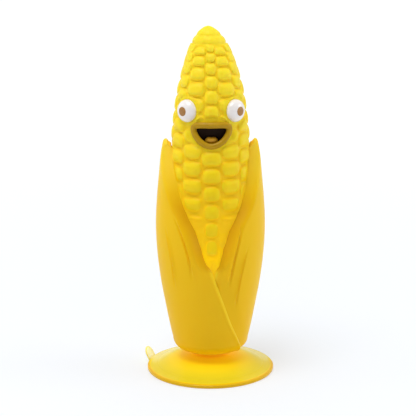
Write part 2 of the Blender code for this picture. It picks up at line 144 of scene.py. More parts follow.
def apply_modifiers(piece):
    """Turns what the modifiers make into the piece's own mesh."""
    graph = bpy.context.evaluated_depsgraph_get()
    mesh = bpy.data.meshes.new_from_object(piece.evaluated_get(graph))
    piece.modifiers.clear()
    piece.data = mesh
    mesh.name = piece.name


def dress(piece, cad_node):
    """Lets a piece stand for a node of the solid model, on the body root."""
    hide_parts(cad_node)
    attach(piece, "root")


def triangle_count(piece):
    return sum(len(face.vertices) - 2 for face in piece.data.polygons)


def smoothstep(share):
    share = min(1.0, max(0.0, share))
    return share * share * (3 - 2 * share)


def ramp(length, start, end):
    """Goes softly from 0 to 1 as a length goes from start to end, both in mm, up or down."""
    return smoothstep((length / MM - start) / (end - start))


def bell(value):
    return exp(-(value**2))


print("halfway up a ramp of 2 mm:", ramp(1 * MM, 0, 2))

# %% [markdown]
# ## Floor and light
#
# The toy stands on white paper in a bright studio. We could build a curved paper sweep, but the
# camera looks down, so one large flat sheet fills its view. A white world lights the toy from all
# sides, most of all from behind, and gives its edges their pale shine. A big soft light above and
# to the left shapes the kernels, and two more at the sides keep the flanks of the leaves brighter
# than their middle.

# %% Floor
FLOOR_Z = -0.05 * MM
FLOOR_HALF_WIDTH = 15.0

# The paper's grain is about 1 mm wide
paper, add, shader, coords = new_material("white_paper")
grain = add("TexNoise", {"Vector": coords, "Scale": 900.0, "Detail": 2.0})
grain_bump = add("Bump", {"Height": grain, "Strength": 0.02, "Distance": 0.1 * MM})
# Far from the toy the paper has a light of its own, as a backdrop has
from_toy = add("VectorMath", {0: coords}, operation="LENGTH")
backdrop_light = add("MapRange", {
    "Value": from_toy, "From Min": 0.05, "From Max": 0.9, "To Min": 0.43, "To Max": 0.76})
set_inputs(shader, {
    "Base Color": linear("b6bbc2"), "Roughness": 0.9, "Specular IOR Level": 0.2,
    "Emission Color": linear("ffffff"), "Emission Strength": backdrop_light,
    "Normal": grain_bump})

bm = bmesh.new()
bmesh.ops.create_grid(bm, x_segments=8, y_segments=8, size=FLOOR_HALF_WIDTH,
                      matrix=Matrix.Translation((0, 0, FLOOR_Z)))
floor = new_piece("floor", bm, paper)
print("floor is", floor.dimensions.x, "m wide")

# %% Light
MID_Z = 80 * MM
SOFTBOX_SIZE = 0.4

world = bpy.data.worlds.new("studio")
world.use_nodes = True
add = partial(add_node, world.node_tree)
# The world is dim on the camera's side and bright behind the toy,
direction = add("TexCoord")
back = add("SeparateXYZ", {"Vector": direction.outputs["Generated"]}).outputs["Y"]
brightness = add("MapRange", {
    "Value": back, "From Min": -0.85, "From Max": 0.35, "To Min": 0.14, "To Max": 0.76})
# but what the camera itself sees of it is plain white
rays = add("LightPath")
seen = add("Math", {0: brightness, 1: rays.outputs["Is Camera Ray"]}, operation="ADD")
set_inputs(world.node_tree.nodes["Background"], {"Color": linear("ffffff"), "Strength": seen})
bpy.context.scene.world = world
bpy.context.scene.view_settings.view_transform = "Standard"

# Square lights that look at the middle of the toy
for name, place, power in (("top_softbox", (-0.16, -0.22, 0.82), 3.8),
                           ("left_softbox", (-0.75, -0.05, 0.40), 0.6),
                           ("right_softbox", (0.75, -0.05, 0.35), 1.5)):
    data = bpy.data.lights.new(name, "AREA")
    data.size, data.energy = SOFTBOX_SIZE, power
    lamp = bpy.data.objects.new(name, data)
    lamp.location = place
    towards = Vector((0, 0, MID_Z)) - Vector(place)
    lamp.rotation_euler = towards.to_track_quat("-Z", "Y").to_euler()
    bpy.context.scene.collection.objects.link(lamp)
    print(name, "has", power, "watts")

# %% [markdown]
# ## The shape of the cob
#
# The toy's body is one smooth spindle with kernels standing out of it. Heights and radii of the
# spindle are given at a few levels, and a smooth curve runs through them. The husk round it has
# its own curve. Both are values that the kernels, the leaves and the face all read.

# %% Levels and profiles
TIP_Z = 164.1 * MM
LEAF_TOP_Z = 112.0 * MM
BODY_BOTTOM_Z = 10.0 * MM
GAP = 0.35 * MM

# (height, radius) in millimetres
COB_PROFILE = [
    (12.8, 11.3), (16, 13.3), (30, 15.4), (45, 17.2), (60, 18.0), (80, 18.5), (96, 18.1),
    (108, 17.5), (118, 16.7), (126, 15.7), (134, 14.4), (141, 12.65), (148, 10.6), (153, 9.0),
    (157, 7.3), (160, 5.0), (162, 3.0)]
HUSK_PROFILE = [
    (13, 17.2), (20, 18.95), (32, 21.35), (45, 23.65), (58, 25.2), (71, 25.8), (84, 25.2),
    (96, 24.1), (105, 23.2), (112, 21.9)]


def smooth_profile(points_mm):
    """A function that runs smoothly through (height, radius) points."""
    points = [(z * MM, r * MM) for z, r in points_mm]
    heights = [z for z, r in points]
    slopes = [(high[1] - low[1]) / (high[0] - low[0])
              for low, high in zip(points[:1] + points, points[1:] + points[-1:])]

    def radius_at(z):
        z = min(heights[-1], max(heights[0], z))
        i = bisect_left(heights, z, 1, len(heights) - 1) - 1
        (z0, r0), (z1, r1) = points[i], points[i + 1]
        span = z1 - z0
        t = (z - z0) / span
        return ((2 * t**3 - 3 * t**2 + 1) * r0 + (t**3 - 2 * t**2 + t) * span * slopes[i]
                + (3 * t**2 - 2 * t**3) * r1 + (t**3 - t**2) * span * slopes[i + 1])

    return radius_at


groove_radius = smooth_profile(COB_PROFILE)
husk_radius = smooth_profile(HUSK_PROFILE)


def around(azimuth, radius, z):
    """A point at an azimuth from the front (-Y), positive towards +X."""
    return Vector((radius * sin(azimuth), -radius * cos(azimuth), z))


print("cob at mid height:", round(groove_radius(MID_Z) / MM, 1), "mm; husk:",
      round(husk_radius(MID_Z) / MM, 1), "mm")

# %% [markdown]
# ## Where the leaves lie
#
# Each leaf is wrapped round the cob from one side. Its two edges run down from the tip, cross the
# other leaf's edges at the bottom of the V, and go on below: one over the other leaf, one under
# it. An edge is given as an angle from the leaf's middle at each height. The kernels need it too,
# because they stop short of the leaves.

# %% Leaf edges
CROSS_Z = 53.0 * MM
UNDER_SPREAD = radians(600)  # per metre below the crossing
V_SKEW = radians(2.3)  # each V stands a little towards the leaf whose edge lies under
CLEAR_OF_LEAVES = 5.0 * MM
# (height, angle from the leaf's middle) in millimetres and degrees
OVER_EDGE = [(2, 173), (10, 156), (15.6, 142), (26, 121.5), (37, 107.5), (45, 98.5), (53, 90.3)]
OPEN_EDGE = [
    (53, 88), (58, 81.4), (63, 75.5), (68, 70.4), (72, 65.6), (77, 56.8), (82, 47.6), (88, 38.8),
    (93, 32), (98, 25), (102, 18), (106, 12), (109, 8), (111, 4.5), (112, 1)]
# Where the leaf's inner face meets the cob, which is the same low down
CONTACT_EDGE = OPEN_EDGE[:5] + [
    (77, 56.6), (82, 47.1), (88, 38.3), (94, 30), (98, 24), (102, 17), (106, 11), (109, 6),
    (112, 0)]

over_edge = smooth_profile(OVER_EDGE)
open_edge = smooth_profile(OPEN_EDGE)
contact_edge = smooth_profile(CONTACT_EDGE)


def v_skew(z):
    """How far the V is turned at a height: less above its bottom, and not at all at its top."""
    return V_SKEW * ramp(z, 104, 90) * (1 - 0.5 * ramp(z - CROSS_Z, 0, 5))


def leaf_half_width(z, over):
    """The angle from a leaf's middle to its over edge or its under edge at a height."""
    if z >= CROSS_Z:
        return radians(open_edge(z) / MM) + (v_skew(z) if over else -v_skew(z))
    if over:
        return radians(over_edge(z) / MM)
    return radians(open_edge(CROSS_Z) / MM) - V_SKEW + UNDER_SPREAD * (CROSS_Z - z)


def past_leaf_edge(point):
    """How far a point of the cob lies outside the leaves, in metres round the cob."""
    if point.z > LEAF_TOP_Z - MM:
        return CLEAR_OF_LEAVES
    from_side = abs(radians(90) - abs(atan2(point.x, -point.y)))
    if point.z < CROSS_Z:
        width, slope = leaf_half_width(point.z, False), 1.0
    else:
        width = radians(contact_edge(point.z) / MM)
        narrower = radians(contact_edge(point.z + MM) / MM)
        slope = hypot(1.0, (width - narrower) * groove_radius(point.z) / MM)
        width += copysign(v_skew(point.z), point.x * point.y)
    return (from_side - width) * groove_radius(point.z) / slope


for height in (60, 80, 100):
    print("leaf at", height, "mm reaches", round(degrees(leaf_half_width(height * MM, True))),
          "degrees")

# %% [markdown]
# ## Kernels
#
# Corn kernels stand in columns, and each column is shifted against its neighbours. A grid wrapped
# round the spindle gives the columns and rows, and dissolving every second level edge in each
# column gives the shift: what remains is one face for each kernel. Insetting these faces makes a
# groove, a wall and a crown, and a Subdivision Surface rounds them into pillows. Displacing a
# smooth cob with a texture would be quicker, but the kernels would have no outline of their own.

# %% Kernel rows and columns
KERNEL_COLUMNS = 12
# Heights in millimetres of the grooves between the kernels of the front column
ROW_GROOVES = [155.9, 152.3, 147.9, 142.3, 136.1, 129.5, 122.9, 116.1, 109.1, 101.4, 93.3, 85.0,
               76.5, 68.2, 60.0, 51.9, 43.5]
KERNEL_TOP_Z = ROW_GROOVES[0] * MM
KERNEL_RELIEF = 1.3 * MM
V_SWELL = 2.5 * MM
TIP_LEAN, LEAN_START_Z = -1.1 * MM, 134.0 * MM  # the tip leans a little to the left


def kernel_relief(z):
    """How far the kernels stand out of the grooves: less at the tip, and fading at the foot."""
    return KERNEL_RELIEF * (0.55 + 0.45 * ramp(TIP_Z - z, 0, 22)) * ramp(z, 56, 63)


def swell(z, from_front):
    """At the bottom of the V the cob swells, front and back, to meet the leaves' edges."""
    beside = smoothstep((22 - degrees(from_front)) / 14)
    return V_SWELL * ramp(z, 67, 55) * ramp(z, 45, 51) * beside


def cob_radius(z, from_front=radians(90)):
    return groove_radius(z) + kernel_relief(z) + swell(z, from_front)


def lean(z):
    return TIP_LEAN * max(0.0, (z - LEAN_START_Z) / (TIP_Z - LEAN_START_Z)) ** 2


def radius_of(point):
    return hypot(point.x - lean(point.z), point.y)


def set_radius(vert, radius):
    """Moves a vertex to a radius from the cob's axis, which leans near the tip."""
    shift = lean(vert.co.z)
    flat = Vector((vert.co.x - shift, vert.co.y)).normalized() * radius
    vert.co.x, vert.co.y = flat.x + shift, flat.y


def kernel_ring_heights():
    """Heights of the rings from the tip down. The front column's own rings alternate with those
    of the columns beside it, shifted by a quarter of a kernel at the tip and by more below."""
    heights = [KERNEL_TOP_Z]
    for top, low in zip(ROW_GROOVES, ROW_GROOVES[1:]):
        shift = 0.64 - 0.38 * smoothstep((top - 128) / 26)
        heights += [(top - shift * (top - low)) * MM, low * MM]
    return heights


def column_edge(column, z):
    """Azimuth between two kernel columns. Those beside the front and back columns are wider."""
    on_head = ramp(z, 108, 126)
    narrowing = radians(2.8 * on_head + 0.135 * min(45.0, max(0.0, 105 - z / MM)))
    widening = radians(2.5 * on_head)
    shift = {0: -narrowing, 11: narrowing, 6: -narrowing, 5: narrowing,
             1: widening, 10: -widening, 7: widening, 4: -widening}
    azimuth = tau * (column + 0.5) / KERNEL_COLUMNS
    return azimuth + shift.get(column % KERNEL_COLUMNS, 0)


print("kernel rings:", [round(z / MM, 1) for z in kernel_ring_heights()])

# %% Wrap the grid and stagger the columns
CORE_RING_HEIGHTS = [38 * MM, 30 * MM, 22 * MM, 16 * MM]  # smooth rings that the leaves hide
FOOT_SHOULDER_Z = 12.8 * MM
FOOT_RADIUS = 9.2 * MM


def cob_cage():
    kernel_rings = kernel_ring_heights()
    heights = kernel_rings + CORE_RING_HEIGHTS + [FOOT_SHOULDER_Z]
    bm = bmesh.new()
    ring_of = bm.verts.layers.int.new("ring")
    bmesh.ops.create_grid(bm, x_segments=KERNEL_COLUMNS, y_segments=len(heights) - 1, size=1)
    for vert in bm.verts:
        column = round((vert.co.x + 1) / 2 * KERNEL_COLUMNS)
        ring = round((1 - vert.co.y) / 2 * (len(heights) - 1))
        z = heights[ring]
        vert[ring_of] = ring
        vert.co = around(column_edge(column, z), groove_radius(z), z) + Vector((lean(z), 0, 0))
    bmesh.ops.remove_doubles(bm, verts=bm.verts, dist=0.01 * MM)

    spare = []
    for edge in bm.edges:
        ring, other = (vert[ring_of] for vert in edge.verts)
        middle = (edge.verts[0].co + edge.verts[1].co) / 2
        column = round(atan2(middle.x, -middle.y) / tau * KERNEL_COLUMNS)
        if ring == other and 0 < ring < len(kernel_rings) - 1 and (column + ring) % 2:
            spare.append(edge)
    bmesh.ops.dissolve_edges(bm, edges=spare, use_verts=False, use_face_split=False)
    return bm


bm = cob_cage()
print("cage:", len(bm.faces), "faces,", sum(len(face.verts) > 4 for face in bm.faces), "kernels")

# %% Raise the kernels
# Steps inwards from a kernel's outline: (share of its width, share of its relief)
KERNEL_STEPS = [(0.025, 0.16), (0.045, 0.46), (0.08, 0.72), (0.11, 0.89), (0.12, 1.0)]
HIDDEN_DEPTH = 7.0 * MM  # kernels further than this below a leaf's edge stay plain
LOW_PAIRS_BOTTOM, LOW_PAIRS_TOP = 70 * MM, 87 * MM


def raise_kernels(bm):
    kernels = [face for face in bm.faces if len(face.verts) > 4
               and past_leaf_edge(face.calc_center_median()) > -HIDDEN_DEPTH]
    for face in kernels:
        heights = [vert.co.z for vert in face.verts]
        width = min(max(heights) - min(heights),
                    tau * groove_radius(heights[0]) / KERNEL_COLUMNS)
        # The grooves are narrow on the head and wide in the V, most so beside its lowest pairs
        middle = face.calc_center_median()
        wider = 0.03 * ramp(heights[0], 105, 80) - 0.01
        beside = abs(middle.x) > 0.15 * abs(middle.y)
        if beside and LOW_PAIRS_BOTTOM < middle.z < LOW_PAIRS_TOP:
            wider += 0.05
        for i, (width_share, relief_share) in enumerate(KERNEL_STEPS):
            inset = (width_share + (wider if i == 0 else 0)) * width
            bmesh.ops.inset_individual(bm, faces=[face], thickness=inset, use_even_offset=True)
            for vert in face.verts:
                z = vert.co.z
                set_radius(vert, groove_radius(z) + relief_share * kernel_relief(z))
    return len(kernels)


print("raised", raise_kernels(bm), "kernels")

# %% [markdown]
# The tip needs a rounded cap, and the foot a short boss that fills the hole between the leaves and
# carries the cup. Filling the two open ends and insetting the new faces gives both.

# %% Close the tip and the foot
# (radius, height) in millimetres of the cap's rings: a smooth band, a shallow groove, and the point
TIP_RINGS = [(8.0, 156.5), (7.8, 157.3), (7.4, 158.2), (6.75, 158.9), (6.1, 159.4), (5.75, 159.8),
             (5.7, 160.2), (5.35, 160.9), (4.4, 161.8), (3.2, 162.6), (2.0, 163.4)]


def close_ends(bm):
    bmesh.ops.holes_fill(bm, edges=[edge for edge in bm.edges if edge.is_boundary])
    tip = max(bm.faces, key=lambda face: face.calc_center_median().z)
    foot = min(bm.faces, key=lambda face: face.calc_center_median().z)

    for radius, z in TIP_RINGS:
        bmesh.ops.inset_individual(bm, faces=[tip], thickness=0.3 * MM)
        for vert in tip.verts:
            vert.co.z = z * MM
            set_radius(vert, radius * MM)
    bmesh.ops.poke(bm, faces=[tip])["verts"][0].co.z = TIP_Z

    bmesh.ops.inset_individual(bm, faces=[foot], thickness=3.0 * MM)
    for vert in foot.verts:
        set_radius(vert, FOOT_RADIUS)
    bottom = bmesh.ops.extrude_discrete_faces(bm, faces=[foot])["faces"][0]
    for vert in bottom.verts:
        vert.co.z = BODY_BOTTOM_Z
    bmesh.ops.inset_individual(bm, faces=[bottom], thickness=0.4 * MM)


close_ends(bm)
bmesh.ops.recalc_face_normals(bm, faces=bm.faces)
print("open edges left:", sum(edge.is_boundary for edge in bm.edges))

# %% [markdown]
# ## Kernel finish
#
# The body is soft PVC, the vinyl that squeeze toys are moulded in. It is coloured through in a
# warm amber yellow, and the kernels have a paler lemon paint sprayed on top, so that the grooves
# stay warmer. Vinyl has an IOR near 1.5, is satin rather than glossy, and lets a little light
# under its surface, which softens the shade in the grooves. The paint follows a point attribute
# that the mesh carries, because only the mesh knows where a crown ends.

# %% Soft vinyl for the cob
kernel_vinyl, add, shader, coords = new_material("sprayed_soft_vinyl_kernels")
paint = add("Attribute", attribute_name="paint").outputs["Fac"]
height = add("SeparateXYZ", {"Vector": coords}).outputs["Z"]

# Spray paint lies unevenly over about 3 mm
spray = add("TexNoise", {"Vector": coords, "Scale": 330.0, "Detail": 3.0, "Roughness": 0.6})
uneven = add("MapRange", {
    "Value": spray, "From Min": 0.3, "From Max": 0.7, "To Min": -0.10, "To Max": 0.10})
coated = add("Math", {0: paint, 1: uneven}, operation="ADD", use_clamp=True)
# The coat is paler towards the head: a paler paint, and a painted highlight where the light falls
# most
up = add("MapRange", {"Value": height, "From Min": 85 * MM, "From Max": 150 * MM})
coat = add("Mix", {0: up, 6: linear("eec806"), 7: linear("f5df3c")}, data_type="RGBA")
lemon = add("Mix", {0: spray, 6: coat, 7: linear("f4da14")}, data_type="RGBA")
colour = add("Mix", {0: coated, 6: linear("fac803"), 7: lemon}, data_type="RGBA")
# Low in the V an emission paints light into the grooves, which lie in shade there
painted_groove_light = add("MapRange", {"Value": coated, "To Min": 0.18, "To Max": 0.05})
low_down = add("MapRange", {
    "Value": height, "From Min": 62 * MM, "From Max": 90 * MM, "To Min": 1.0, "To Max": 0.0})
glow = add("Math", {0: painted_groove_light, 1: low_down}, operation="MULTIPLY")
# Moulded vinyl has a fine orange peel. It is drawn at 0.8 mm, coarser than the real one, to show.
peel = add("TexNoise", {"Vector": coords, "Scale": 1250.0, "Detail": 1.0})
peel_bump = add("Bump", {"Height": peel, "Strength": 0.25, "Distance": 0.05 * MM})
satin = add("MapRange", {"Value": spray, "To Min": 0.38, "To Max": 0.52})
set_inputs(shader, {
    "Base Color": colour, "Roughness": satin, "IOR": 1.5, "Specular IOR Level": 0.16,
    "Emission Color": linear("ffc800"), "Emission Strength": glow, "Subsurface Weight": 0.35,
    "Subsurface Radius": (1.0, 0.6, 0.1), "Subsurface Scale": 2.5 * MM, "Normal": peel_bump})
print("kernel finish has", len(kernel_vinyl.node_tree.nodes), "nodes")

# %% [markdown]
# ## Round the kernels and seat the face
#
# The Subdivision Surface is applied, because the next step works on the rounded mesh: round each
# eye and round the mouth the kernels sink into a smooth skin, and near the leaves they fade out.
# We measure how far each vertex stands above the groove, scale that down there, and add the
# raised ring in which an eye sits.

# %% Places of the face
EYE_AZIMUTH = radians(44)
EYE_Z = 126.3 * MM
EYE_RADIUS, EYE_HALF_DEPTH, EYE_CENTRE = 5.2 * MM, 3.7 * MM, 15.6 * MM
MOUTH_Z = 116.4 * MM
MOUTH_HALF_WIDTH = 8.1 * MM
MOUTH_CLEARING = (9.9 * MM, 7.3 * MM)


def eye_coordinates(point, side):
    """Distance of a point from an eye's axis, and its distance out along that axis."""
    out = around(side * EYE_AZIMUTH, 1.0, 0)
    from_middle = point - Vector((0, 0, EYE_Z))
    along = from_middle.dot(out)
    return (from_middle - along * out).length, along


def face_fade(point):
    """1 on open cob, and 0 in the smooth skin round the mouth and the eyes."""
    fade = 1.0
    if point.y < 0:
        half_width, half_height = MOUTH_CLEARING
        oval = Vector((point.x / half_width, (point.z - MOUTH_Z) / half_height)).length
        fade = smoothstep((oval - 1.0) / 0.2)
        for side in (-1, 1):
            distance, along = eye_coordinates(point, side)
            if along > 0:
                fade = min(fade, ramp(distance, 6.0, 7.6))
    return fade


print("eyes are", round(2 * EYE_RADIUS / MM, 1), "mm wide at", round(EYE_Z / MM, 1), "mm")

# %% Smooth, fade and paint
SEAT_RADIUS = 5.5 * MM  # middle of the raised ring round an eye
SEAT_HALF_WIDTH, SEAT_LIFT = 1.7 * MM, 0.6 * MM
SEAT_OUT = 15.3 * MM  # how far the ring's crest lies from the cob's axis
FRONT_PAINT_Z, SIDE_PAINT_Z = 59.5 * MM, 78.0 * MM
TIP_BUMP, FILLET = 0.16 * MM, 0.45 * MM


def raise_seat(vert, side):
    """Lifts the skin round an eye into a ring that the eye sits in."""
    distance, along = eye_coordinates(vert.co, side)
    share = max(0.0, (distance - SEAT_RADIUS) / SEAT_HALF_WIDTH)
    if along > 0 and share < 1:
        lift = SEAT_OUT - SEAT_LIFT * (1 - sqrt(1 - share**2)) - along
        if lift > 0:
            out = around(side * EYE_AZIMUTH, 1.0, 0)
            vert.co += lift * out * smoothstep(1.6 * (1 - share))


def shape_skin(mesh):
    """Fades kernels, raises the eye seats, and stores how much paint each vertex has."""
    bm = bmesh.new()
    bm.from_mesh(mesh)
    paint = bm.verts.layers.float.new("paint")
    for vert in bm.verts:
        z = vert.co.z
        groove = groove_radius(z)
        height = radius_of(vert.co) - groove
        relief = max(0.15 * MM, kernel_relief(z))
        past = past_leaf_edge(vert.co)
        crown = smoothstep((height / relief - 0.10) / 0.45)
        crown = max(crown, 0.20 + 0.45 * ramp(z, 98, 112))
        skin = 1 - face_fade(vert.co)
        azimuth = abs(atan2(vert.co.x, -vert.co.y))
        if z > KERNEL_TOP_Z:
            crown = 1.0
            # The band below the point is faintly bumpy
            band = ramp(z, 156, 157) * ramp(z, 160.2, 159.2)
            bump = TIP_BUMP * band * cos(KERNEL_COLUMNS * azimuth)
            set_radius(vert, radius_of(vert.co) + bump)
        from_front = min(azimuth, pi - azimuth)
        in_front = smoothstep((column_edge(0, z) - from_front) / radians(1.5))
        start = SIDE_PAINT_Z + (FRONT_PAINT_Z - SIDE_PAINT_Z) * in_front
        vert[paint] = max(crown, 0.75 * skin) * ramp(z - start, 0, 2.5) * ramp(past, 1, 2)

        if FOOT_SHOULDER_Z + 4 * MM < z < KERNEL_TOP_Z:
            # The mould parts along both sides, so the kernels stand out less there
            near_tip = ramp(z, 138, 146)
            from_side = abs(90 - degrees(azimuth))
            parting = (0.55 + 0.3 * near_tip) * smoothstep((35 + 15 * near_tip - from_side) / 25)
            height += parting * (relief - height)
            near_leaf = ramp(past, 0.5, 2.3)
            unpainted = ramp(start - z, 0, 2) * ramp(z, 66, 68)
            height *= (1 - skin) * (0.12 + 0.88 * near_leaf) * (1 - 0.75 * unpainted)
            # A small fillet runs up to the leaves' edges
            fillet = FILLET * (1 - ramp(past, 0, 2.2)) * ramp(past, -5, -2) * ramp(z, 104, 98)
            set_radius(vert, groove + height + swell(z, from_front) + fillet)
        raise_seat(vert, -1)
        raise_seat(vert, 1)
    bm.to_mesh(mesh)
    bm.free()


cob = new_piece("cob_kernels", bm, kernel_vinyl, 180)
rounder = cob.modifiers.new("round", "SUBSURF")
rounder.levels = rounder.render_levels = 2
apply_modifiers(cob)
shape_skin(cob.data)
dress(cob, "cob")
print("cob:", triangle_count(cob), "triangles")

# %% [markdown]
# ## Husk leaves
#
# A leaf is a thin sheet with two faces. We start from a flat grid, give it a second face with
# solidify, and map every vertex to its place on the husk: its column tells how far round it lies,
# its row how high. Near the rim of the leaf the outer face curves down to the inner one, so the
# edge is round. Columns and rows are closer together there. Folds run up from the foot.

# %% Leaf sizes
FLATTEN_BASE, FLATTEN_SLOPE = 0.8 * MM, 0.055
FLATTEN_START_Z = 12.0 * MM
BOTTOM_ROUND, BOTTOM_THICKNESS = 6.2 * MM, 2.45 * MM
LAYER, LEAF_SINK = 0.8 * MM, 0.4 * MM
LEAF_EDGE, EDGE_ROUND, TIP_ROUND = 0.95 * MM, 1.0 * MM, 1.5 * MM
V_EDGE = 0.5 * MM  # beside the V the leaf ends thinner
THINNEST = 0.06 * MM
EDGE_BLEND, LAYER_BLEND, CROSS_BLEND, EDGE_ROLL = 5.0 * MM, 8.0 * MM, 6.0 * MM, 4.5 * MM
ROLL_SINK = 0.15 * MM  # how far the rolled edge sinks into the grooves
OVER_BEAD, BEAD_WIDTH = 0.35 * MM, 1.3 * MM  # the over edge is a little thicker
STAND_OFF, STAND_OFF_WIDTH = 1.8 * MM, 2.5 * MM  # the free sheet near a leaf's tip
V_SHADE = 7.0 * MM  # how far from the V the leaf's colour is deeper
LEAF_COLUMNS, LEAF_WALL_ROWS = 230, 110
CORNER_STEPS = 10

# Folds of a leaf: (angle from its middle and height at the top end, the same at the lower end,
# sideways bend, half width of the ridge, its height, depth of its valley, side of the valley), in
# degrees and millimetres. + is towards the over edge.
FOLDS = [((45.5, 78), (67.5, 52), 4.0, 0.65, 0.6, 1.0, -1),
         ((33.5, 72), (43, 47), 2.2, 0.45, 0.5, 1.2, -1),
         ((-53, 76), (-70, 48), -1.2, 0.6, 0.55, 0.85, 1),
         ((-47, 63), (-58.5, 38), -2.3, 0.45, 0.5, 1.2, 1)]


def husk_surface(z, turn):
    """The husk's outer radius at a height and an angle from a leaf's middle."""
    flattening = FLATTEN_BASE + FLATTEN_SLOPE * max(0.0, z - FLATTEN_START_Z)
    return husk_radius(z) - flattening * sin(turn) ** 2


def fold_height(z, turn):
    """A fold is a ridge with a valley close beside it, and it fades out at both ends."""
    height = 0.0
    for (turn_top, z_top), (turn_low, z_low), bend, width, rise, drop, side in FOLDS:
        share = (z / MM - z_low) / (z_top - z_low)
        if not -0.2 < share < 1.1:
            continue
        line = turn_low + (turn_top - turn_low) * share + bend * 4 * share * (1 - share)
        across = (turn - radians(line)) * husk_radius(z) / MM * side / width
        if abs(across) > 8:
            continue
        strength = smoothstep((share + 0.2) / 0.4) * smoothstep((1.1 - share) / 0.5)
        ridge = bell(across) + 0.6 * bell(across / 3.5)
        height += strength * (rise * ridge - drop * bell(across - 1.8)) * MM
    return height


print("husk at the bottom of the V:", round(husk_surface(CROSS_Z, radians(90)) / MM, 1), "mm")

# %% Map a grid to a leaf


def round_over(share):
    """How far a quarter round has dropped: all the way at 0, its rim, and not at all at 1."""
    return 1 - sqrt(1 - (1 - share) ** 2)


def leaf_depths(edge_z, turn, z):
    """Depths of a leaf's outer and inner face below the husk's surface, at an angle."""
    surface = husk_surface(z, turn)
    over, under = leaf_half_width(edge_z, True), leaf_half_width(edge_z, False)
    to_edge = max(0.0, min(over - turn, turn + under) * surface)
    narrowing = leaf_half_width(z, False) - leaf_half_width(z + MM, False)
    slope = hypot(1.0, narrowing * surface / MM)
    from_edge = to_edge / slope

    on_cob = surface - cob_radius(z, abs(radians(90) - abs(turn))) - GAP
    # Beside the V the edge rolls in until it touches the grooves
    free = ramp(z, 107, 111) * (1 - smoothstep(from_edge / STAND_OFF_WIDTH))
    rolled = (1 - smoothstep(from_edge / EDGE_ROLL)) * ramp(z - CROSS_Z, 0, 3) * (1 - free)
    on_cob += (GAP + ROLL_SINK + kernel_relief(z)) * rolled
    on_cob += (STAND_OFF - on_cob) * free
    # Below the crossing one side lies over the other leaf, and the other side under it
    into_overlap = (turn - (pi - under)) * surface + LAYER_BLEND
    lifted = smoothstep(1.25 * into_overlap / LAYER_BLEND)
    lifted *= 1 - smoothstep((z - CROSS_Z) / CROSS_BLEND)
    layer = LAYER * (0.35 + 0.65 * ramp(edge_z, 12, 26))
    inner = on_cob + (layer + LEAF_SINK - on_cob) * lifted
    out_of_overlap = (turn - (over - pi)) * surface
    tucked = layer * (1 - smoothstep(out_of_overlap / LAYER_BLEND))

    blend = min(EDGE_BLEND, 0.25 * (over + under) * surface)
    edge = LEAF_EDGE + (V_EDGE - LEAF_EDGE) * rolled
    thickness = edge + (inner - tucked - edge) * smoothstep(to_edge / blend)
    from_tip = (LEAF_TOP_Z - z) / TIP_ROUND
    edge_round = EDGE_ROUND * (1 + 0.7 * ramp(z - CROSS_Z, 6, 0))
    near = min(1.0, from_edge / edge_round, from_tip)
    inner -= 0.45 * thickness * round_over(min(1.0, from_tip))
    bead = OVER_BEAD * bell((over - turn) * surface / slope / BEAD_WIDTH - 0.9)
    bead *= near * ramp(z - CROSS_Z, 8, 0)
    folds = fold_height(z, turn) * smoothstep(to_edge / (3 * MM))
    return inner - max(THINNEST, thickness * (1 - round_over(near))) - bead - folds, inner


def leaf_rows():
    """Rows from the hole at the bottom to the tip: ("flat" | "corner" | "wall", value)."""
    rows = [("flat", FOOT_RADIUS + GAP), ("flat", FOOT_RADIUS + 1.5 * MM)]
    rows += [("corner", radians(90) * i / CORNER_STEPS) for i in range(CORNER_STEPS)]
    start = BODY_BOTTOM_Z + BOTTOM_ROUND
    for i in range(LEAF_WALL_ROWS + 1):
        share = 1 - (1 - i / LEAF_WALL_ROWS) ** 1.5
        rows.append(("wall", start + (LEAF_TOP_Z - start) * share))
    return rows


def leaf_point(row, across, inner_face):
    """A point of a leaf as its angle from the leaf's middle, its radius and its height."""
    kind, value = row
    corner_z = BODY_BOTTOM_Z + BOTTOM_ROUND
    z = value if kind == "wall" else corner_z
    # Below the wall the edges go on along the rounded corner
    to_wall = {"flat": radians(90), "corner": radians(90) - value, "wall": 0.0}[kind]
    edge_z = z - BOTTOM_ROUND * to_wall
    over, under = leaf_half_width(edge_z, True), leaf_half_width(edge_z, False)
    turn = (over + under) * across - under
    outside, inside = leaf_depths(edge_z, turn, z)
    surface = husk_surface(z, turn)
    if kind == "wall":
        return turn, surface - (inside if inner_face else outside), z

    inside = min(inside, BOTTOM_THICKNESS)
    depth = inside if inner_face else min(outside, inside - 0.1 * MM)
    if kind == "flat":
        return turn, value, BODY_BOTTOM_Z + depth
    radius = BOTTOM_ROUND - depth
    corner = surface - BOTTOM_ROUND
    return turn, corner + radius * sin(value), corner_z - radius * cos(value)


def gather_at_ends(share):
    """Spreads even steps from 0 to 1 so that they are closer together at both ends."""
    return share - 0.65 * sin(tau * share) / tau


print("a leaf has", len(leaf_rows()), "rows of", LEAF_COLUMNS, "faces on each side")

# %% [markdown]
# ## Husk finish
#
# The leaves are the same soft vinyl, coloured through in a deeper golden yellow and left without
# paint. A painted highlight makes the edge that lies over the other leaf a touch lighter, and
# painted shade makes the yellow deeper beside the V. Faint streaks run lengthwise, as in a real
# husk.

# %% Soft vinyl for the husk
husk_vinyl, add, shader, coords = new_material("soft_vinyl_husk")
# A painted highlight along the leaves' edges, and a painted shade beside the V
painted_edge_highlight = add("Attribute", attribute_name="edge").outputs["Fac"]
v_painted_shade = add("Attribute", attribute_name="v_painted_shade").outputs["Fac"]
height = add("SeparateXYZ", {"Vector": coords}).outputs["Z"]
# Lower down the yellow is warmer and a touch brighter: painted light against the shade there
up = add("MapRange", {"Value": height, "From Min": 10 * MM, "From Max": 110 * MM})
# Towards the tips the yellow is paler: a painted highlight where the light catches them
painted_tip_highlight = add("MapRange", {"Value": height, "From Min": 88 * MM, "From Max": 108 * MM})
